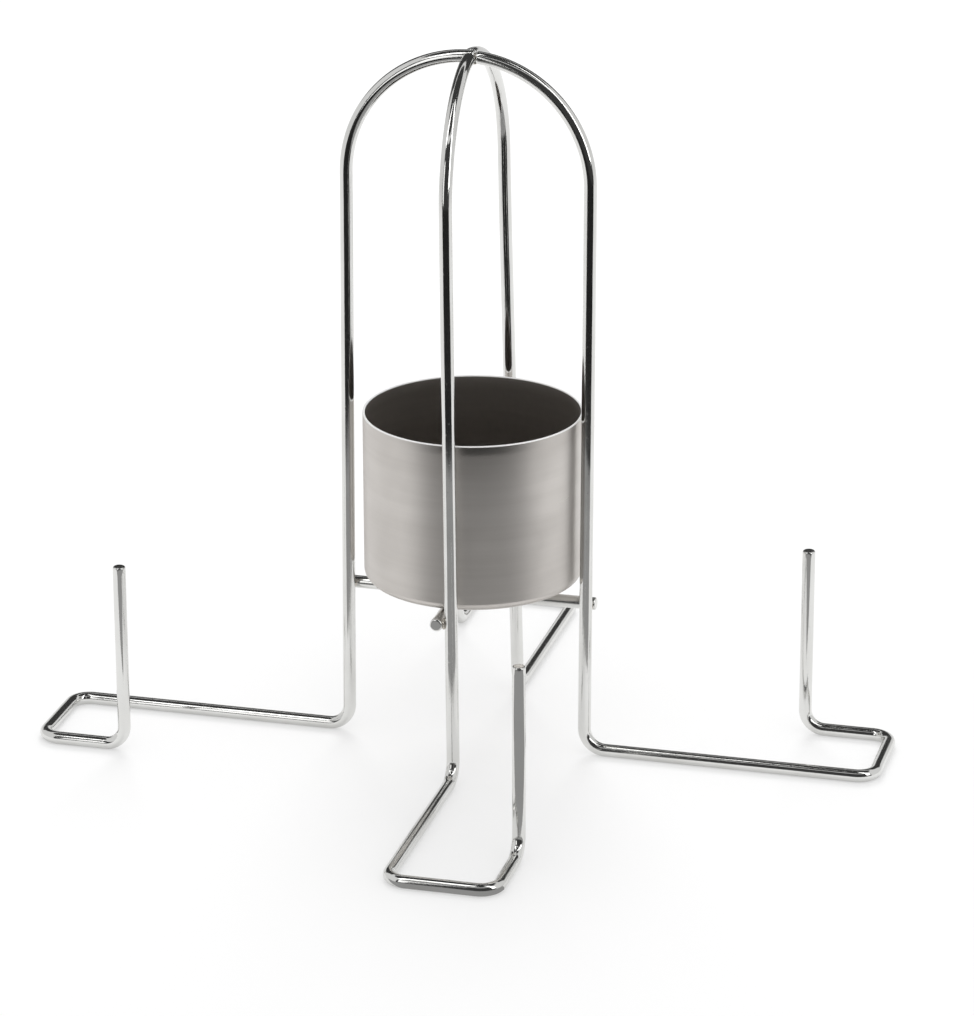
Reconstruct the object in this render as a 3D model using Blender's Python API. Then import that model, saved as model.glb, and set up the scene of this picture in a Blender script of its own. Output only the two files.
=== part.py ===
"""Upright roasting stand: four bent-wire legs, two wire braces and a steel cup.

Run it with: blender --background --python part.py
Units are metres, +Z is up, and the origin is on the table under the middle of the cage.
"""

import math

import bmesh
import bpy
from mathutils import Matrix, Vector

# Wire stock
WIRE = 0.0045  # diameter of every wire, measured across its flats
WIRE_SIDES = 12  # a multiple of 4, so that a wire has a flat below, above and on each side
END_CHAMFER = 0.0006  # the sheared ends are broken by this much
GAP = 0.0003  # left between two wires, or the cup and a wire, where a weld joins them

# Cup
CUP_RADIUS = 0.0380
CUP_DEPTH = 0.0600  # outside height
CUP_WALL = 0.0008
CUP_CORNER = 0.0030  # outside radius between wall and floor
CUP_SHIFT = 0.0012  # the cup stands this far towards the right leg
CUP_CLEARANCE = 0.00125  # left between the cup and the right leg
CUP_STEPS = 64
CORNER_STEPS = 5

# Cage: the upright part of each leg and the dome
CAGE_RADIUS = CUP_RADIUS + CUP_SHIFT + CUP_CLEARANCE + WIRE / 2  # to a leg's centreline
CAGE_HEIGHT = 0.2490  # table to the top of the dome
DOME_STEPS = 16
APEX_SHIFT = 0.0027  # the side wires meet this far to the right of the middle

# Feet: each leg runs out along the table, turns back and ends in a spike
SIDE_REACH = 0.1450  # middle of the cage to the outer end of a side foot, at the centreline
DEPTH_REACH = 0.1280  # the same for the front and back feet
FOOT_WIDTH = 0.0373  # outgoing run to returning run, centre to centre
FOOT_RETURN = 0.0311  # outer end of the foot to the spike, centre to centre
SPIKE_HEIGHT = 0.0692  # table to the cut end of a spike
HEEL_BEND = 0.0075  # bend radii at the centreline: upright into the foot,
CORNER_BEND = 0.0065  # the two outer corners of the foot,
SPIKE_BEND = 0.0070  # and the foot into the spike
BEND_STEPS = 6

# Braces: straight wires across the cage, under the cup
BRACE_HEIGHT = 0.05675  # table to the plane where the two braces touch
BRACE_OVERHANG = 0.00035  # how far a brace runs past the outer side of a leg

# Each leg's quarter turns about the middle, the side on which it passes its brace (-1 or 1),
# and how far to that side its shoulder and its upper end lie
LEGS = {
    "leg_right": (0, -1, 0.0011, 0.0),
    "leg_back": (1, -1, 0.0011, 0.0),
    "leg_left": (2, 1, 0.0011, 0.0),
    "leg_front": (3, 1, 0.0036, 0.0009),
}


def clear_scene():
    for obj in list(bpy.data.objects):
        bpy.data.objects.remove(obj, do_unlink=True)


def metal(name, colour, roughness):
    material = bpy.data.materials.new(name)
    material.use_nodes = True
    shader = material.node_tree.nodes["Principled BSDF"]
    shader.inputs["Base Color"].default_value = (*colour, 1.0)
    shader.inputs["Roughness"].default_value = roughness
    shader.inputs["Metallic"].default_value = 1.0
    return material


def add_object(name, bm, material, sharp_angle=40.0):
    bmesh.ops.recalc_face_normals(bm, faces=bm.faces)
    mesh = bpy.data.meshes.new(name)
    bm.to_mesh(mesh)
    bm.free()
    mesh.materials.append(material)
    mesh.shade_smooth()
    mesh.set_sharp_from_angle(angle=math.radians(sharp_angle))
    obj = bpy.data.objects.new(name, mesh)
    bpy.context.scene.collection.objects.link(obj)
    return obj


def rounded_path(corners, radii, steps):
    """The polyline through the corners, each inner corner replaced by an arc of its radius."""
    path = [corners[0]]
    for before, corner, after, radius in zip(corners, corners[1:], corners[2:], radii):
        towards = (before - corner).normalized()
        onward = (after - corner).normalized()
        half_angle = towards.angle(onward) / 2
        centre = corner + (towards + onward).normalized() * radius / math.sin(half_angle)
        start = corner + towards * radius / math.tan(half_angle) - centre
        turn = math.pi - 2 * half_angle
        axis = start.cross(towards).normalized() * -1
        for step in range(steps + 1):
            path.append(centre + Matrix.Rotation(turn * step / steps, 3, axis) @ start)
    path.append(corners[-1])
    return path


def wire_along(path, first_normal):
    """A wire swept along the path, with flats square to first_normal and chamfered ends."""
    bm = bmesh.new()
    across_corners = WIRE / 2 / math.cos(math.pi / WIRE_SIDES)
    tangents = [(b - a).normalized() for a, b in zip(path, path[1:])]
    normal = first_normal
    rings = []

    def add_ring(point, forward, radius):
        side = forward.cross(normal)
        ring = []
        for corner in range(WIRE_SIDES):
            angle = 2 * math.pi * (corner + 0.5) / WIRE_SIDES
            offset = normal * math.cos(angle) + side * math.sin(angle)
            ring.append(bm.verts.new(point + offset * radius))
        rings.append(ring)

    small = across_corners - END_CHAMFER
    add_ring(path[0], tangents[0], small)
    add_ring(path[0] + tangents[0] * END_CHAMFER, tangents[0], across_corners)
    for point, arriving, leaving in zip(path[1:], tangents, tangents[1:]):
        forward = (arriving + leaving).normalized()
        normal = (arriving.rotation_difference(forward) @ normal).normalized()
        add_ring(point, forward, across_corners)
        normal = (forward.rotation_difference(leaving) @ normal).normalized()
    add_ring(path[-1] - tangents[-1] * END_CHAMFER, tangents[-1], across_corners)
    add_ring(path[-1], tangents[-1], small)

    bm.faces.new(rings[0])
    bm.faces.new(rings[-1])
    for ring, following in zip(rings, rings[1:]):
        for corner in range(WIRE_SIDES):
            right = (corner + 1) % WIRE_SIDES
            bm.faces.new((ring[corner], ring[right], following[right], following[corner]))
    return bm


def leg_path(reach, side, shoulder_side, end_side, apex_end):
    """Centreline of a leg that stands on +X, from its spike to its end at the apex.

    The upright is straight. It passes beside the brace at the brace's height and leans from
    there to its shoulder, and the dome arc carries the wire on to its end over the middle.
    """
    table = WIRE / 2
    top = CAGE_HEIGHT - WIRE / 2
    shoulder = top - CAGE_RADIUS
    at_brace = side * (WIRE + GAP)
    at_shoulder = side * shoulder_side
    at_end = side * end_side
    foot = at_brace + (at_brace - at_shoulder) * (BRACE_HEIGHT - table) / (shoulder - BRACE_HEIGHT)
    corners = [
        Vector((reach - FOOT_RETURN, foot + FOOT_WIDTH, SPIKE_HEIGHT)),
        Vector((reach - FOOT_RETURN, foot + FOOT_WIDTH, table)),
        Vector((reach, foot + FOOT_WIDTH, table)),
        Vector((reach, foot, table)),
        Vector((CAGE_RADIUS, foot, table)),
        Vector((CAGE_RADIUS, at_shoulder, shoulder)),
    ]
    path = rounded_path(corners, (SPIKE_BEND, CORNER_BEND, CORNER_BEND, HEEL_BEND), BEND_STEPS)

    def add_dome_point(x):
        sideways = at_end + (at_shoulder - at_end) * x / CAGE_RADIUS
        path.append(Vector((x, sideways, shoulder + math.sqrt(CAGE_RADIUS**2 - x**2))))

    for step in range(1, DOME_STEPS + 1):
        x = CAGE_RADIUS * math.cos(math.pi / 2 * step / DOME_STEPS)
        if x <= max(apex_end, 0):
            break
        add_dome_point(x)
    add_dome_point(apex_end)
    return path


def add_legs(material):
    """The side wires meet end to end at the apex, and the other two end against their sides."""
    beside = WIRE / 2 + GAP
    apex_ends = {
        "leg_right": APEX_SHIFT + GAP / 2,
        "leg_left": -APEX_SHIFT + GAP / 2,
        "leg_front": beside,
        "leg_back": beside,
    }
    for name, (quarter_turns, side, shoulder_side, end_side) in LEGS.items():
        reach = DEPTH_REACH if quarter_turns % 2 else SIDE_REACH
        path = leg_path(reach, side, shoulder_side, end_side, apex_ends[name])
        leg = add_object(name, wire_along(path, Vector((1, 0, 0))), material)
        leg.rotation_euler.z = quarter_turns * math.pi / 2


def add_brace(name, height, quarter_turns, material):
    half = CAGE_RADIUS + WIRE / 2 + BRACE_OVERHANG
    path = [Vector((-half, 0, 0)), Vector((half, 0, 0))]
    brace = add_object(name, wire_along(path, Vector((0, 0, 1))), material)
    brace.location.z = height
    brace.rotation_euler.z = quarter_turns * math.pi / 2


def arc(centre_x, centre_z, radius, start, end, steps):
    """Points on an arc in the XZ plane, angles in degrees from +X towards +Z."""
    points = []
    for step in range(steps + 1):
        angle = math.radians(start + (end - start) * step / steps)
        points.append((centre_x + radius * math.cos(angle), centre_z + radius * math.sin(angle)))
    return points


def cup_profile():
    """Half section of the cup, from the middle of its inner floor to that of its underside."""
    inner_corner = CUP_CORNER - CUP_WALL
    middle = CUP_RADIUS - CUP_CORNER
    lip = CUP_WALL / 2
    profile = [(0, CUP_WALL)]
    profile += arc(middle, CUP_CORNER, inner_corner, -90, 0, CORNER_STEPS)
    profile += arc(CUP_RADIUS - lip, CUP_DEPTH - lip, lip, 180, 0, CORNER_STEPS)
    profile += arc(middle, CUP_CORNER, CUP_CORNER, 0, -90, CORNER_STEPS)
    profile.append((0, 0))
    return profile


def add_cup(floor_height, material):
    bm = bmesh.new()
    verts = [bm.verts.new((x, 0, z)) for x, z in cup_profile()]
    edges = [bm.edges.new(pair) for pair in zip(verts, verts[1:])]
    bmesh.ops.spin(
        bm,
        geom=verts + edges,
        cent=(0, 0, 0),
        axis=(0, 0, 1),
        angle=2 * math.pi,
        steps=CUP_STEPS,
        use_merge=True,
    )
    bmesh.ops.remove_doubles(bm, verts=bm.verts, dist=1e-6)
    cup = add_object("cup", bm, material)
    cup.location = (CUP_SHIFT, 0, floor_height)


def main():
    clear_scene()
    wire_steel = metal("polished_wire", (0.72, 0.72, 0.70), 0.12)
    cup_steel = metal("satin_steel", (0.56, 0.55, 0.53), 0.32)
    add_legs(wire_steel)
    lower = BRACE_HEIGHT - (WIRE + GAP) / 2
    upper = BRACE_HEIGHT + (WIRE + GAP) / 2
    add_brace("brace_side", lower, 0, wire_steel)
    add_brace("brace_depth", upper, 1, wire_steel)
    add_cup(upper + WIRE / 2 + GAP, cup_steel)


main()
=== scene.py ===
"""Scene of an upright roasting stand: bent wire legs, two braces, a steel cup and its welds."""

import math

import bmesh
import bpy
from bpy.props import FloatProperty, FloatVectorProperty, PointerProperty
from mathutils import Matrix, Vector, noise


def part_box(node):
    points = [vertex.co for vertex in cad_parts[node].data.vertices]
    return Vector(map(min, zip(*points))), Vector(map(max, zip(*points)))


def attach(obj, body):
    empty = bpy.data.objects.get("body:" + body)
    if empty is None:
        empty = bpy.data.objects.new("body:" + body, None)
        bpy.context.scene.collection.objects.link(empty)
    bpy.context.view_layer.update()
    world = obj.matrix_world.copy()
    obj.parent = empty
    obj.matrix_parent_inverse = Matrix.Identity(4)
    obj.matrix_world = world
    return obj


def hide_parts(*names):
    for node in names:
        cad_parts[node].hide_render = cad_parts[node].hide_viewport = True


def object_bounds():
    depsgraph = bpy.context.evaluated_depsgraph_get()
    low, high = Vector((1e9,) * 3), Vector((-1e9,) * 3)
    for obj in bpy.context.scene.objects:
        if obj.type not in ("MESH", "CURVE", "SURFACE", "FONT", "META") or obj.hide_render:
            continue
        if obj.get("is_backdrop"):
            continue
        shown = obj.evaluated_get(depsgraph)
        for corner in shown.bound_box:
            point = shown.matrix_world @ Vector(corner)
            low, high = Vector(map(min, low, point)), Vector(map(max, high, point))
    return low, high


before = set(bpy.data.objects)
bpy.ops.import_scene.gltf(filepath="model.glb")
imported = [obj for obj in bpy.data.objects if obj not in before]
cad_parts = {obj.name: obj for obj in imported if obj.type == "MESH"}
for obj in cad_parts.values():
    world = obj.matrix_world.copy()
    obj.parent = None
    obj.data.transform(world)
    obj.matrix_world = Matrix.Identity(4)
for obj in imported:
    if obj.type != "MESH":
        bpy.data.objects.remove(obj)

bl_info = {
    "name": "Upright Roasting Stand",
    "version": (1, 0, 0),
    "blender": (4, 5, 0),
    "location": "View3D > Sidebar > Roasting Stand",
    "description": "Builds the wire cage, the cup, the welds and the studio of a roasting stand",
    "category": "Object",
}

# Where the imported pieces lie
SIDE_BRACE_LOW, SIDE_BRACE_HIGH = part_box("brace_side")
DEPTH_BRACE_LOW, DEPTH_BRACE_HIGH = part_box("brace_depth")
CUP_LOW, CUP_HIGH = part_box("cup")
WIRE_DIAMETER = SIDE_BRACE_HIGH.z - SIDE_BRACE_LOW.z
CUP_MIDDLE = (CUP_LOW + CUP_HIGH) / 2

# Each leg's quarter turns from +X, and how far to its side its shoulder and its end lie
LEGS = {
    "leg_right": (0, -0.0011, 0.0),
    "leg_back": (1, -0.0011, 0.0),
    "leg_left": (2, 0.0011, 0.0),
    "leg_front": (3, 0.0036, 0.0009),
}

# How finely the pieces are made
WIRE_SIDES = 32
WIRE_STEP = 0.003  # longest stretch of wire between two rings
BEND_STEPS = 12
DOME_STEPS = 40
END_STEPS = 5
EASE_PASSES = 60  # smoothing where an upright runs into the dome
EASE_REACH = 9  # points on either side
CUP_STEPS = 192
LIP_STEPS = 10
HEAT_REACH = 0.0045  # a weld tints the wire about this far
END_SETBACK = 0.00012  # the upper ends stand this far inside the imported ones
WELD_GAP = 0.0003  # left between two packed wires where a weld joins them
WELD_WIDE, WELD_THIN = 0.0020, 0.0009  # half sizes of a bead beside a brace
CUP_WELD = (0.0016, 0.0026, 0.0006)  # half sizes of a bead under the cup
CUP_WELD_OUT = 0.014  # those beads' distance from the cup's axis
FLOOR_STEPS = 12
WALL_STEPS = 16


def length(name, description, default):
    return FloatProperty(
        name=name, description=description, default=default, min=0.0, precision=5, unit="LENGTH"
    )


def colour(name, description, default):
    return FloatVectorProperty(
        name=name,
        description=description,
        default=default,
        size=3,
        min=0.0,
        max=1.0,
        subtype="COLOR",
    )


def angle(name, description, degrees):
    return FloatProperty(
        name=name, description=description, default=math.radians(degrees), subtype="ANGLE"
    )


class WireSettings(bpy.types.PropertyGroup):
    diameter: length("Wire diameter", "Thickness of every wire", WIRE_DIAMETER)
    cage_radius: length("Cage radius", "Middle of the cage to an upright", 0.0427)
    foot_width: length("Foot width", "Outgoing run to returning run of a foot", 0.0373)
    foot_return: length("Foot return", "Outer end of a foot to its spike", 0.0311)
    spike_height: length("Spike height", "Table to the cut end of a spike", 0.0692)
    heel_bend: length("Heel bend", "Bend from an upright into its foot", 0.0075)
    corner_bend: length("Corner bend", "Bend at the outer corners of a foot", 0.0065)
    spike_bend: length("Spike bend", "Bend from a foot into its spike", 0.0070)
    cut_edge: length("Cut edge", "Rounding of the sheared ends", 0.0006)
    apex_edge: length("Apex edge", "Rounding of the ends welded at the top", 0.0009)
    steel: colour("Wire steel", "Colour of the polished wire", (0.74, 0.74, 0.725))
    worn_steel: colour("Handled steel", "Colour where the wire is handled", (0.66, 0.655, 0.635))
    heat_tint: colour("Heat tint", "Colour that a weld leaves beside it", (0.60, 0.53, 0.44))


class CupSettings(bpy.types.PropertyGroup):
    radius: length("Cup radius", "Outside radius of the cup", (CUP_HIGH.x - CUP_LOW.x) / 2)
    depth: length("Cup depth", "Outside height of the cup", CUP_HIGH.z - CUP_LOW.z)
    wall: length("Cup wall", "Thickness of the sheet", 0.0008)
    corner: length("Cup corner", "Outside radius between wall and floor", 0.0030)
    steel: colour("Cup steel", "Colour of the brushed cup", (0.66, 0.63, 0.60))
    dull_steel: colour("Dull cup steel", "Colour in the dull bands", (0.59, 0.56, 0.53))
    # The rim colour is a painted highlight: near-white, it stands in for the light the trimmed rim
    # catches
    rim_highlight_steel: colour("Painted rim highlight", "Painted highlight along the trimmed rim", (0.92, 0.92, 0.91))


class StageSettings(bpy.types.PropertyGroup):
    azimuth: angle("Azimuth", "Camera's turn from the front towards the right", 14.889)
    elevation: angle("Elevation", "Camera's height above the table, as an angle", 20.280)
    roll: angle("Roll", "Camera's tilt about its own axis", -0.159)
    distance: length("Distance", "Camera to the plane through the origin", 1.5907)
    across: length("Aim across", "Camera's sideways offset", 0.005724)
    above: length("Aim above", "Camera's upward offset", 0.080269)
    lens: FloatProperty(name="Lens", description="Focal length in millimetres", default=106.3)
    floor: colour("Floor", "Colour of the pale table", (0.92, 0.92, 0.92))


# Shader nodes


class Socket:
    """An output socket in arithmetic: each operation adds a Math node."""

    def __init__(self, nodes, socket):
        self.nodes = nodes
        self.socket = socket

    def calc(self, operation, *values):
        return self.nodes.add("ShaderNodeMath", {"operation": operation}, dict(enumerate(values)))

    def __add__(self, other):
        return self.calc("ADD", self, other)

    def __sub__(self, other):
        return self.calc("SUBTRACT", self, other)

    def __rsub__(self, other):
        return self.calc("SUBTRACT", other, self)

    def __mul__(self, other):
        return self.calc("MULTIPLY", self, other)

    def __pow__(self, other):
        return self.calc("POWER", self, other)

    __radd__ = __add__
    __rmul__ = __mul__


class Nodes:
    """A node tree that is emptied and then filled in."""

    def __init__(self, owner):
        owner.use_nodes = True
        self.tree = owner.node_tree
        self.tree.nodes.clear()

    def add(self, kind, settings=None, inputs=None, output=0):
        """Adds a node, with its settings first and then its sockets' values or links."""
        node = self.tree.nodes.new(kind)
        for name, value in (settings or {}).items():
            setattr(node, name, value)
        for name, value in (inputs or {}).items():
            if isinstance(value, Socket):
                self.tree.links.new(value.socket, node.inputs[name])
            else:
                node.inputs[name].default_value = value
        if not node.outputs:
            return None
        return Socket(self, node.outputs[output])

    def noise(self, vector, scale, detail=2.0):
        """Smooth noise between 0 and 1."""
        inputs = {"Vector": vector, "Scale": scale, "Detail": detail}
        return self.add("ShaderNodeTexNoise", None, inputs)

    def stretched(self, vector, scale):
        return self.add("ShaderNodeVectorMath", {"operation": "MULTIPLY"}, {0: vector, 1: scale})

    def between(self, value, low, high, to_low=0.0, to_high=1.0):
        """The value's place from low to high, carried to the other two, and held there."""
        inputs = {"Value": value, "From Min": low, "From Max": high}
        inputs |= {"To Min": to_low, "To Max": to_high}
        return self.add("ShaderNodeMapRange", None, inputs)

    def mix(self, factor, first, second):
        """A colour between two colours."""
        inputs = {"Factor": factor}
        for name, value in ((6, first), (7, second)):
            inputs[name] = value if isinstance(value, Socket) else (*value, 1.0)
        return self.add("ShaderNodeMix", {"data_type": "RGBA"}, inputs, output=2)

    def bump(self, height, strength, distance):
        inputs = {"Height": height, "Strength": strength, "Distance": distance}
        return self.add("ShaderNodeBump", None, inputs)

    def surface(self, shader, world=False):
        kind = "ShaderNodeOutputWorld" if world else "ShaderNodeOutputMaterial"
        self.add(kind, None, {"Surface": shader})


def polished_wire(settings):
    """Bright drawn wire: drawing lines along it, faint smudges, and a tint beside the welds."""
    material = bpy.data.materials.new("polished_wire")
    nodes = Nodes(material)
    drawn = nodes.add("ShaderNodeAttribute", {"attribute_name": "drawn"}, None, output=1)
    heat = nodes.add("ShaderNodeAttribute", {"attribute_name": "heat"}, None, output=2)
    place = nodes.add("ShaderNodeTexCoord", None, None, output=3)
    lines = nodes.noise(nodes.stretched(drawn, (9.0, 9.0, 60.0)), 1.0, 3.0)
    smudges = nodes.noise(place, 45.0, 4.0)
    specks = nodes.between(nodes.noise(place, 900.0, 2.0), 0.66, 0.74)
    handled = nodes.between(smudges, 0.42, 0.68)
    steel = nodes.mix(handled * 0.7, settings.steel, settings.worn_steel)
    tinted = nodes.mix(heat * 0.55, steel, settings.heat_tint)
    roughness = 0.055 + 0.07 * handled + 0.05 * lines + 0.16 * heat + 0.10 * specks
    shader = nodes.add(
        "ShaderNodeBsdfPrincipled",
        None,
        {
            "Base Color": tinted,
            "Roughness": roughness,
            "Metallic": 1.0,
            "Normal": nodes.bump(lines + 0.4 * smudges + 0.8 * specks, 0.25, 0.00003),
        },
    )
    nodes.surface(shader)
    return material


def weld_metal(settings):
    """Weld metal and flash: dull, tinted and finely rippled."""
    material = bpy.data.materials.new("weld_metal")
    nodes = Nodes(material)
    place = nodes.add("ShaderNodeTexCoord", None, None, output=3)
    cloud = nodes.noise(place, 700.0, 4.0)
    ripple = nodes.noise(place, 2600.0, 3.0)
    shader = nodes.add(
        "ShaderNodeBsdfPrincipled",
        None,
        {
            "Base Color": nodes.mix(cloud, settings.worn_steel, settings.heat_tint),
            "Roughness": 0.16 + 0.22 * ripple,
            "Metallic": 1.0,
            "Normal": nodes.bump(ripple + cloud, 0.5, 0.00012),
        },
    )
    nodes.surface(shader)
    return material


def brushed_cup(settings):
    """Drawn sheet, brushed round and round: fine lines, soft bands, a few handling marks, and a
    painted highlight on the rim.
    """
    material = bpy.data.materials.new("brushed_cup")
    nodes = Nodes(material)
    place = nodes.add("ShaderNodeTexCoord", None, None, output=3)
    apart = nodes.add("ShaderNodeSeparateXYZ", None, {"Vector": place})
    x, y, z = (Socket(nodes, output) for output in apart.socket.node.outputs)
    out = (x * x + y * y) ** 0.5  # distance from the cup's axis
    along = z + out  # up the wall, and outwards across the floor
    turned = nodes.add("ShaderNodeCombineXYZ", None, {"X": x, "Y": y, "Z": along})
    fine = nodes.noise(nodes.stretched(turned, (14.0, 14.0, 2600.0)), 1.0, 2.0)
    coarse = nodes.noise(nodes.stretched(turned, (22.0, 22.0, 700.0)), 1.0, 3.0)
    bands = nodes.noise(nodes.stretched(turned, (6.0, 6.0, 90.0)), 1.0, 2.0)
    smudges = nodes.between(nodes.noise(place, 60.0, 5.0), 0.45, 0.72)
    dull = nodes.between(bands + 0.35 * coarse, 0.5, 0.95)
    # Painted highlight on the rim: a near-white, mostly unmetallic colour there stands in for the
    # light the rim catches
    edge = nodes.between(z, settings.depth - 0.0005, settings.depth - 0.0003)
    inner = nodes.between(settings.radius - out, 0.0003, 0.0005)
    inner = inner * nodes.between(z, 0.0004, 0.0006)
    steel = nodes.mix(dull, settings.steel, settings.dull_steel)
    steel = nodes.mix(edge, steel, settings.rim_highlight_steel)
    roughness = 0.24 + 0.07 * fine + 0.05 * bands + 0.05 * smudges + 0.26 * inner
    shader = nodes.add(
        "ShaderNodeBsdfPrincipled",
        None,
        {
            "Base Color": steel,
            "Roughness": roughness,
            "Metallic": 1.0 - 0.8 * edge,
            "Anisotropic": 0.9,
            "Normal": nodes.bump(fine + 0.8 * coarse, 0.10, 0.00003),
        },
    )
    nodes.surface(shader)
    return material


def pale_floor(settings):
    """A white table that keeps a soft share of the shadows, and more of it in reflections."""
    material = bpy.data.materials.new("pale_floor")
    nodes = Nodes(material)
    outputs = nodes.add("ShaderNodeLightPath").socket.node.outputs
    share = 0.46 * Socket(nodes, outputs["Is Camera Ray"])
    share = share + 0.30 * Socket(nodes, outputs["Is Glossy Ray"])
    matt = nodes.add("ShaderNodeBsdfDiffuse", None, {"Color": (*settings.floor, 1.0)})
    white = nodes.add("ShaderNodeEmission", None, {"Color": (1.0, 1.0, 1.0, 1.0), "Strength": 1.0})
    nodes.surface(nodes.add("ShaderNodeMixShader", None, {0: share, 1: matt, 2: white}))
    return material


def plain_card(name, grey):
    """The even finish of a studio card."""
    material = bpy.data.materials.new(name)
    nodes = Nodes(material)
    shader = nodes.add(
        "ShaderNodeEmission", None, {"Color": (grey, grey, grey, 1.0), "Strength": 1.0}
    )
    nodes.surface(shader)
    return material


def white_world():
    """White to the camera and in reflections, and a softer fill everywhere else."""
    world = bpy.data.worlds.new("studio")
    bpy.context.scene.world = world
    nodes = Nodes(world)
    outputs = nodes.add("ShaderNodeLightPath").socket.node.outputs
    shown = Socket(nodes, outputs["Is Camera Ray"]) + Socket(nodes, outputs["Is Glossy Ray"])
    shown = shown + Socket(nodes, outputs["Is Transmission Ray"])
    strength = nodes.between(shown, 0.0, 1.0, 0.95, 1.0)
    nodes.surface(nodes.add("ShaderNodeBackground", None, {"Strength": strength}), world=True)


# Meshes


def finish_mesh(name, bm, material, flat_faces=()):
    """A smooth-shaded object from the bmesh, with the given faces left flat."""
    for face in bm.faces:
        face.smooth = True
    for face in flat_faces:
        face.smooth = False
    bmesh.ops.recalc_face_normals(bm, faces=bm.faces)
    mesh = bpy.data.meshes.new(name)
    bm.to_mesh(mesh)
    bm.free()
    mesh.materials.append(material)
    obj = bpy.data.objects.new(name, mesh)
    bpy.context.scene.collection.objects.link(obj)
    return obj


def rounded_path(corners, radii):
    """The polyline through the corners, each inner corner replaced by an arc of its radius."""
    path = [corners[0]]
    for before, corner, after, radius in zip(corners, corners[1:], corners[2:], radii):
        towards = (before - corner).normalized()
        onward = (after - corner).normalized()
        half_angle = towards.angle(onward) / 2
        centre = corner + (towards + onward).normalized() * radius / math.sin(half_angle)
        start = corner + towards * radius / math.tan(half_angle) - centre
        turn = math.pi - 2 * half_angle
        axis = start.cross(towards).normalized() * -1
        for step in range(BEND_STEPS + 1):
            path.append(centre + Matrix.Rotation(turn * step / BEND_STEPS, 3, axis) @ start)
    path.append(corners[-1])
    return path


def with_steps(path, longest):
    """The same path with points added so that no stretch is longer than that."""
    points = [path[0]]
    for start, end in zip(path, path[1:]):
        count = max(1, math.ceil((end - start).length / longest))
        points += [start.lerp(end, step / count) for step in range(1, count + 1)]
    return points


def ease(path, middle):
    """Rounds off the slight kink in the path at that point, in place."""
    for _ in range(EASE_PASSES):
        for index in range(middle - EASE_REACH, middle + EASE_REACH + 1):
            side = (path[index - 1].y + path[index + 1].y) / 2
            path[index].y = (path[index].y + side) / 2


def add_wire(name, path, settings, material, welds, edges):
    """A round wire along the path, its two ends rounded by the given edges."""
    radius = settings.diameter / 2
    tangents = [(b - a).normalized() for a, b in zip(path, path[1:])]
    sections = []  # centre, forward, radius

    def end_sections(point, inward, forward, edge):
        rounded = []
        for step in range(END_STEPS + 1):
            turn = math.pi / 2 * step / END_STEPS
            centre = point + inward * edge * (1 - math.sin(turn))
            rounded.append((centre, forward, radius - edge + edge * math.cos(turn)))
        return rounded

    sections += reversed(end_sections(path[0], tangents[0], tangents[0], edges[0]))
    sections += [
        (point, (arriving + leaving).normalized(), radius)
        for point, arriving, leaving in zip(path[1:], tangents, tangents[1:])
    ]
    sections += end_sections(path[-1], -tangents[-1], tangents[-1], edges[1])

    bm = bmesh.new()
    rings, drawn, heat = [], [], []
    forward_before, run = tangents[0], 0.0
    normal = forward_before.orthogonal().normalized()
    centre_before = sections[0][0]
    for centre, forward, size in sections:
        normal = (forward_before.rotation_difference(forward) @ normal).normalized()
        side = forward.cross(normal)
        run += (centre - centre_before).length
        nearest = min((centre - weld).length for weld in welds)
        ring = []
        for corner in range(WIRE_SIDES):
            turn = 2 * math.pi * corner / WIRE_SIDES
            offset = normal * math.cos(turn) + side * math.sin(turn)
            ring.append(bm.verts.new(centre + offset * size))
            drawn += (math.cos(turn), math.sin(turn), run)
            heat.append(math.exp(-((nearest / HEAT_REACH) ** 2)))
        rings.append(ring)
        forward_before, centre_before = forward, centre
    caps = [bm.faces.new(rings[0]), bm.faces.new(rings[-1])]
    for ring, following in zip(rings, rings[1:]):
        for corner in range(WIRE_SIDES):
            right = (corner + 1) % WIRE_SIDES
            bm.faces.new((ring[corner], ring[right], following[right], following[corner]))
    wire = finish_mesh(name, bm, material, caps)
    wire.data.attributes.new("drawn", "FLOAT_VECTOR", "POINT").data.foreach_set("vector", drawn)
    wire.data.attributes.new("heat", "FLOAT", "POINT").data.foreach_set("value", heat)
    return wire


def leg_path(node, settings):
    """Centreline of a leg, from its spike to its end at the top of the cage."""
    quarter_turns, at_shoulder, at_end = LEGS[node]
    turned = Matrix.Rotation(quarter_turns * math.pi / 2, 3, "Z")
    corners = [turned.inverted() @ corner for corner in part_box(node)]
    low = Vector(map(min, *corners))
    high = Vector(map(max, *corners))
    radius = table = settings.diameter / 2
    reach = high.x - radius
    foot = high.y - radius - settings.foot_width
    apex_end = low.x + END_SETBACK
    top = high.z - radius
    shoulder = top - settings.cage_radius
    returning = reach - settings.foot_return
    corners = [
        Vector((returning, foot + settings.foot_width, settings.spike_height)),
        Vector((returning, foot + settings.foot_width, table)),
        Vector((reach, foot + settings.foot_width, table)),
        Vector((reach, foot, table)),
        Vector((settings.cage_radius, foot, table)),
        Vector((settings.cage_radius, at_shoulder, shoulder)),
    ]
    bends = (settings.spike_bend, settings.corner_bend, settings.corner_bend, settings.heel_bend)
    path = with_steps(rounded_path(corners, bends), WIRE_STEP)
    at_joint = len(path) - 1
    last = math.acos(apex_end / settings.cage_radius)
    for step in range(1, DOME_STEPS + 1):
        turn = last * step / DOME_STEPS
        sideways = at_end + (at_shoulder - at_end) * math.cos(turn)
        height = shoulder + settings.cage_radius * math.sin(turn)
        path.append(Vector((settings.cage_radius * math.cos(turn), sideways, height)))
    ease(path, at_joint)
    return [turned @ point for point in path]


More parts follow.
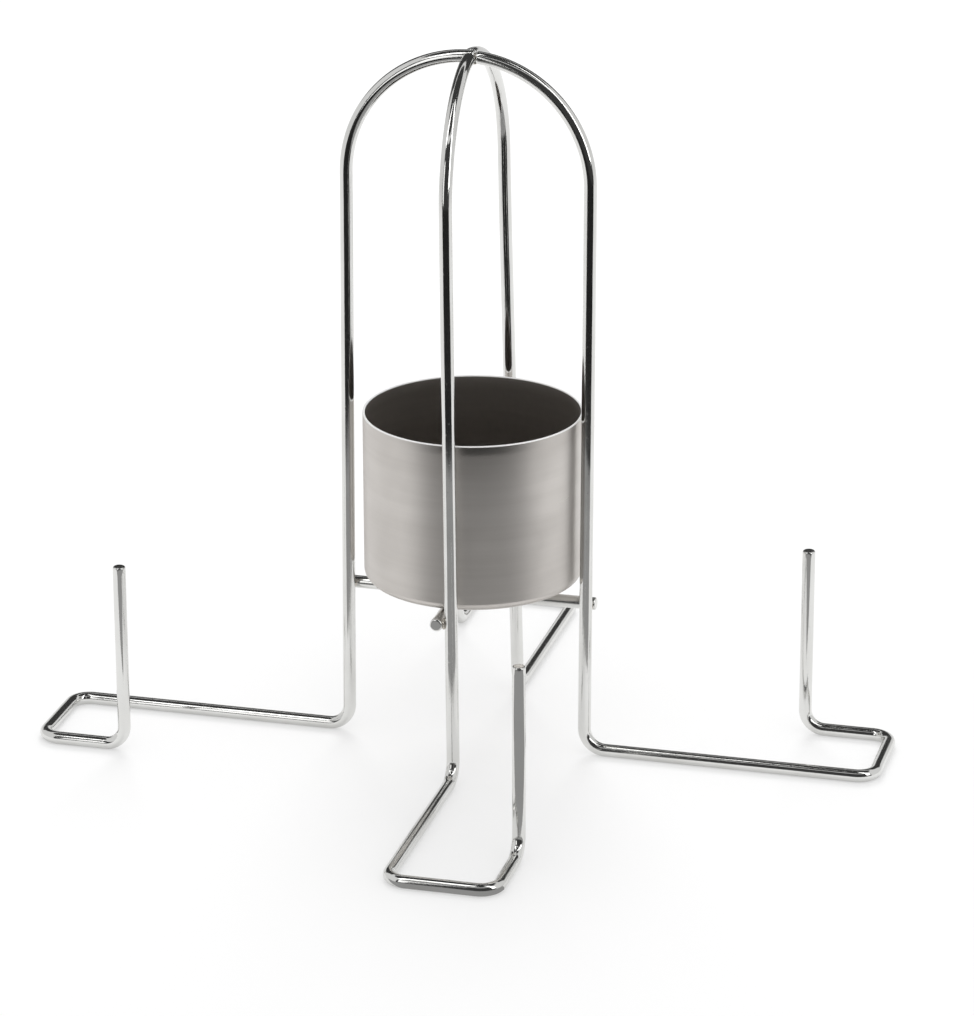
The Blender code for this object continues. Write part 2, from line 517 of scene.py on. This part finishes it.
def weld_points(settings):
    """Where wires are joined: name, middle, and half sizes of the bead along X, Y and Z."""
    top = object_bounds()[1].z - settings.diameter / 2
    side_z = (SIDE_BRACE_LOW.z + SIDE_BRACE_HIGH.z) / 2
    depth_z = (DEPTH_BRACE_LOW.z + DEPTH_BRACE_HIGH.z) / 2
    cage = settings.cage_radius
    beside = (settings.diameter + WELD_GAP) / 2
    butt = (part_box("leg_right")[0].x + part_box("leg_left")[1].x) / 2
    wide, thin = WELD_WIDE, WELD_THIN
    cup_x = CUP_MIDDLE.x / 2
    under_cup = CUP_LOW.z - WELD_GAP / 2
    return [
        ("weld_apex", Vector((butt, 0, top - 0.0002)), (0.0007, 0.0018, 0.0016)),
        ("weld_apex_front", Vector((0.0009, -beside, top - 0.0002)), (0.0021, 0.0007, 0.0019)),
        ("weld_apex_back", Vector((0, beside, top - 0.0002)), (0.0021, 0.0007, 0.0019)),
        ("weld_apex_under", Vector((0.0012, 0, top - 0.0021)), (0.0024, 0.0020, 0.0007)),
        ("weld_leg_right", Vector((cage, -beside, side_z)), (wide, thin, wide)),
        ("weld_leg_left", Vector((-cage, -beside, side_z)), (wide, thin, wide)),
        ("weld_leg_back", Vector((beside, cage, depth_z)), (thin, wide, wide)),
        ("weld_leg_front", Vector((beside, -cage, depth_z)), (thin, wide, wide)),
        ("weld_braces", Vector((0, 0, (side_z + depth_z) / 2)), (wide, wide, thin)),
        ("weld_cup_front", Vector((cup_x, -CUP_WELD_OUT, under_cup)), CUP_WELD),
        ("weld_cup_back", Vector((cup_x, CUP_WELD_OUT, under_cup)), CUP_WELD),
    ]


def add_bead(name, middle, half_sizes, material):
    """A small lump of weld metal, uneven as it froze."""
    bm = bmesh.new()
    bmesh.ops.create_icosphere(bm, subdivisions=5, radius=1.0)
    for vert in bm.verts:
        uneven = 1 + 0.10 * noise.noise(vert.co * 2.2 + middle * 900)
        uneven += 0.03 * math.sin(9 * vert.co.x + 7 * vert.co.y + 5 * vert.co.z)
        spread = Vector(a * b for a, b in zip(vert.co, half_sizes))
        vert.co = middle + spread * uneven
    return finish_mesh(name, bm, material)


def cup_profile(settings):
    """Half section of the cup, from the middle of its inner floor to that of its underside."""
    lip = settings.wall / 2
    middle = settings.radius - settings.corner
    inner = settings.corner - settings.wall

    def arc(centre_x, centre_z, radius, start, end):
        points = []
        for step in range(LIP_STEPS + 1):
            turn = math.radians(start + (end - start) * step / LIP_STEPS)
            points.append((centre_x + radius * math.cos(turn), centre_z + radius * math.sin(turn)))
        return points

    def run(start, end, count):
        (x, z), (end_x, end_z) = start, end
        steps = [step / count for step in range(1, count)]
        return [(x + (end_x - x) * t, z + (end_z - z) * t) for t in steps]

    floor_corner = arc(middle, settings.corner, inner, -90, 0)
    rim = arc(settings.radius - lip, settings.depth - lip, lip, 180, 0)
    heel = arc(middle, settings.corner, settings.corner, 0, -90)
    profile = [(0.0, settings.wall)]
    profile += run(profile[0], floor_corner[0], FLOOR_STEPS) + floor_corner
    profile += run(floor_corner[-1], rim[0], WALL_STEPS) + rim
    profile += run(rim[-1], heel[0], WALL_STEPS) + heel
    profile += run(heel[-1], (0.0, 0.0), FLOOR_STEPS) + [(0.0, 0.0)]
    return profile


class RoastingStandOperator:
    """What the operators share."""

    bl_options = {"REGISTER", "UNDO"}

    def settings(self, context):
        return context.scene.roasting_stand_wire


class ROASTING_OT_wires(RoastingStandOperator, bpy.types.Operator):
    """Builds the four legs and the two braces as round polished wires"""

    bl_idname = "roasting_stand.wires"
    bl_label = "Build the Wires"

    def execute(self, context):
        settings = self.settings(context)
        material = polished_wire(settings)
        welds = [middle for _, middle, _ in weld_points(settings)]
        for node in LEGS:
            path = leg_path(node, settings)
            edges = (settings.cut_edge, settings.apex_edge)
            leg = add_wire("polished_" + node, path, settings, material, welds, edges)
            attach(leg, "root")
            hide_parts(node)
        for node, axis in (("brace_side", 0), ("brace_depth", 1)):
            low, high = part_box(node)
            start = (low + high) / 2
            end = start.copy()
            start[axis], end[axis] = low[axis], high[axis]
            path = with_steps([start, end], WIRE_STEP)
            edges = (settings.cut_edge, settings.cut_edge)
            brace = add_wire("polished_" + node, path, settings, material, welds, edges)
            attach(brace, "root")
            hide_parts(node)
        return {"FINISHED"}


class ROASTING_OT_welds(RoastingStandOperator, bpy.types.Operator):
    """Builds the beads of weld metal that join the wires and the cup"""

    bl_idname = "roasting_stand.welds"
    bl_label = "Build the Welds"

    def execute(self, context):
        settings = self.settings(context)
        material = weld_metal(settings)
        for name, middle, half_sizes in weld_points(settings):
            bead = add_bead(name, middle, half_sizes, material)
            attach(bead, "root")
        return {"FINISHED"}


class ROASTING_OT_cup(RoastingStandOperator, bpy.types.Operator):
    """Builds the drawn steel cup, turned about its own axis"""

    bl_idname = "roasting_stand.cup"
    bl_label = "Build the Cup"

    def execute(self, context):
        settings = context.scene.roasting_stand_cup
        bm = bmesh.new()
        verts = [bm.verts.new((x, 0, z)) for x, z in cup_profile(settings)]
        edges = [bm.edges.new(pair) for pair in zip(verts, verts[1:])]
        bmesh.ops.spin(
            bm,
            geom=verts + edges,
            cent=(0, 0, 0),
            axis=(0, 0, 1),
            angle=2 * math.pi,
            steps=CUP_STEPS,
            use_merge=True,
        )
        bmesh.ops.remove_doubles(bm, verts=bm.verts, dist=1e-6)
        cup = finish_mesh("brushed_cup", bm, brushed_cup(settings))
        cup.location = (CUP_MIDDLE.x, CUP_MIDDLE.y, CUP_LOW.z)
        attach(cup, "root")
        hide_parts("cup")
        return {"FINISHED"}


def add_card(name, card, azimuth):
    """A curved card round the stand, from its lower to its upper edge."""
    turn, spread, edges, strength = card
    bm = bmesh.new()
    columns = []
    for step in range(CARD_STEPS + 1):
        heading = azimuth + math.radians(turn + spread * (2 * step / CARD_STEPS - 1))
        ahead = Vector((math.sin(heading), -math.cos(heading), 0))
        columns.append([bm.verts.new(ahead * far + Vector((0, 0, high))) for far, high in edges])
    for column, following in zip(columns, columns[1:]):
        bm.faces.new((column[0], following[0], following[1], column[1]))
    finish_card(name, bm, strength)


def finish_card(name, bm, strength):
    """Makes a card that shows only in reflections."""
    card = finish_mesh(name, bm, plain_card(name, strength))
    card.visible_camera = False
    card.visible_diffuse = False
    card.visible_shadow = False
    card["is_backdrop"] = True


def add_ceiling(name, height, radius, strength):
    """A round level card above the stand."""
    bm = bmesh.new()
    bmesh.ops.create_circle(bm, cap_ends=True, segments=48, radius=radius)
    bmesh.ops.translate(bm, verts=bm.verts, vec=(0, 0, height))
    finish_card(name, bm, strength)


def add_area_light(name, location, size, power):
    light = bpy.data.lights.new(name, "AREA")
    light.shape = "SQUARE"
    light.size = size
    light.energy = power
    lamp = bpy.data.objects.new(name, light)
    lamp.location = location
    lamp.visible_glossy = False
    aim = LAMP_AIM - lamp.location
    lamp.rotation_euler = aim.to_track_quat("-Z", "Y").to_euler()
    bpy.context.scene.collection.objects.link(lamp)
    return lamp


LAMP_AIM = Vector((0, 0, 0.1))

# Reflected cards: turn from the camera's side to the right and half spread in degrees, then
# how far and how high its two edges lie in metres, and its strength
CARD_STEPS = 24
CARDS = {
    "card_table_edge": (2, 54, ((0.13, 0.0005), (0.37, 0.001)), 0.34),
    "card_table_front": (2, 54, ((0.37, 0.001), (1.12, 0.002)), 0.02),
    "card_front": (4, 58, ((1.10, 0.001), (1.10, 1.30)), 0.05),
    "card_back": (180, 50, ((1.30, 0.42), (1.10, 1.30)), 0.05),
    "card_soft_left": (-36, 8, ((0.80, 0.12), (0.80, 0.62)), 1.4),
    "card_soft_right": (52, 8, ((0.80, 0.22), (0.80, 0.90)), 3.2),
    "card_high_left": (-50, 8, ((0.78, 0.80), (0.20, 1.30)), 3.0),
    "card_high_right": (52, 8, ((0.78, 0.92), (0.20, 1.30)), 3.0),
}


class ROASTING_OT_stage(RoastingStandOperator, bpy.types.Operator):
    """Sets up the table, the studio light and the camera"""

    bl_idname = "roasting_stand.stage"
    bl_label = "Set Up the Studio"

    def execute(self, context):
        settings = context.scene.roasting_stand_stage
        bm = bmesh.new()
        bmesh.ops.create_grid(bm, x_segments=1, y_segments=1, size=6.0)
        floor = finish_mesh("table", bm, pale_floor(settings))
        floor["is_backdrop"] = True
        for name, card in CARDS.items():
            add_card(name, card, settings.azimuth)
        add_ceiling("card_ceiling", 1.35, 0.9, 0.05)
        add_area_light("key", (-0.25, 1.0, 1.1), 0.7, 8.0)
        add_area_light("fill", (0.3, -0.6, 1.4), 1.4, 5.0)
        white_world()
        self.add_camera(context, settings)
        context.scene.view_settings.view_transform = "Standard"
        return {"FINISHED"}

    def add_camera(self, context, settings):
        turn, rise, roll = settings.azimuth, settings.elevation, settings.roll
        back = Vector((
            math.sin(turn) * math.cos(rise),
            -math.cos(turn) * math.cos(rise),
            math.sin(rise),
        ))
        level = Vector((math.cos(turn), math.sin(turn), 0))
        upright = back.cross(level)
        right = level * math.cos(roll) + upright * math.sin(roll)
        up = upright * math.cos(roll) - level * math.sin(roll)
        place = right * settings.across + up * settings.above + back * settings.distance
        lens = bpy.data.cameras.new("camera")
        lens.sensor_width = 24.0  # the picture's long side
        lens.lens = settings.lens
        lens.clip_start = 0.01
        camera = bpy.data.objects.new("camera", lens)
        axes = Matrix((right, up, back)).transposed().to_4x4()
        camera.matrix_world = Matrix.Translation(place) @ axes
        context.scene.collection.objects.link(camera)
        context.scene.camera = camera


class ROASTING_PT_panel(bpy.types.Panel):
    """Lists the sizes, the colours and the steps of the stand"""

    bl_idname = "ROASTING_PT_panel"
    bl_label = "Roasting Stand"
    bl_space_type = "VIEW_3D"
    bl_region_type = "UI"
    bl_category = "Roasting Stand"

    def draw(self, context):
        for step, settings in STEPS.items():
            box = self.layout.box()
            if settings:
                group = getattr(context.scene, settings)
                for name in group.__annotations__:
                    box.prop(group, name)
            box.operator(step)


# The operators in building order, each with the settings shown above it
STEPS = {
    "roasting_stand.wires": "roasting_stand_wire",
    "roasting_stand.welds": None,
    "roasting_stand.cup": "roasting_stand_cup",
    "roasting_stand.stage": "roasting_stand_stage",
}

CLASSES = (
    WireSettings,
    CupSettings,
    StageSettings,
    ROASTING_OT_wires,
    ROASTING_OT_welds,
    ROASTING_OT_cup,
    ROASTING_OT_stage,
    ROASTING_PT_panel,
)


def register():
    for cls in CLASSES:
        bpy.utils.register_class(cls)
    bpy.types.Scene.roasting_stand_wire = PointerProperty(type=WireSettings)
    bpy.types.Scene.roasting_stand_cup = PointerProperty(type=CupSettings)
    bpy.types.Scene.roasting_stand_stage = PointerProperty(type=StageSettings)


def unregister():
    del bpy.types.Scene.roasting_stand_stage
    del bpy.types.Scene.roasting_stand_cup
    del bpy.types.Scene.roasting_stand_wire
    for cls in reversed(CLASSES):
        bpy.utils.unregister_class(cls)


def main():
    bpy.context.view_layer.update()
    register()
    bpy.ops.roasting_stand.wires()
    bpy.ops.roasting_stand.welds()
    bpy.ops.roasting_stand.cup()
    bpy.ops.roasting_stand.stage()


if __name__ == "__main__":
    main()
